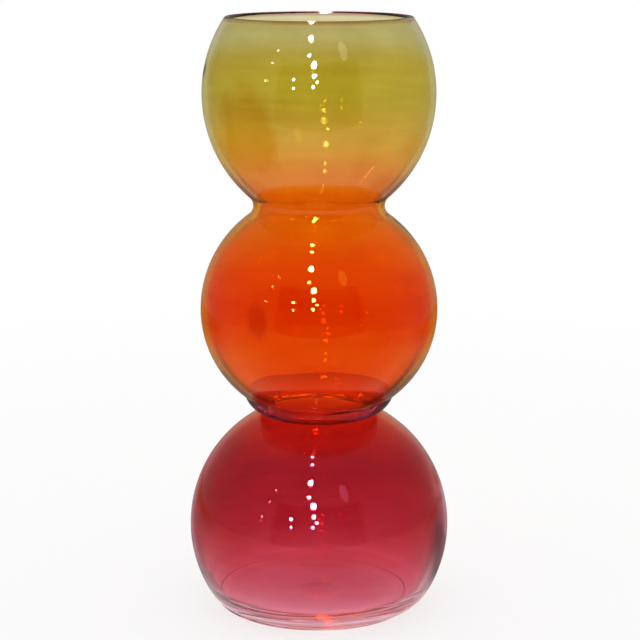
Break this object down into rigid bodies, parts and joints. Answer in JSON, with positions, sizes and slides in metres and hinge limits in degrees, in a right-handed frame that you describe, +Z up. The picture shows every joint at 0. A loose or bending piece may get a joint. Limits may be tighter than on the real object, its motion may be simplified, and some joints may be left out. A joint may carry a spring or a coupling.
{
  "type": "triple gourd vase",
  "caption": "Blown glass flower vase of stacked coloured globes that narrow to waists, with a flat foot, a thick base, a glass collar at the lower waist and an open mouth.",
  "frame": {"origin": "centre of the foot, on the plane that the vase stands on", "axes": "+Z up along the vase's axis; the picture looks along +Y, with +X to its right"},
  "size_m": [0.134, 0.134, 0.305],
  "materials": {
    "ruby_glass": "polished",
    "orange_glass": "polished",
    "chartreuse_glass": "polished",
    "collar_glass": "polished"
  },
  "bodies": {
    "root": {"bottom_globe": "ruby_glass", "middle_globe": "orange_glass", "top_globe": "chartreuse_glass", "lower_waist_collar": "collar_glass"}
  },
  "joints": []
}
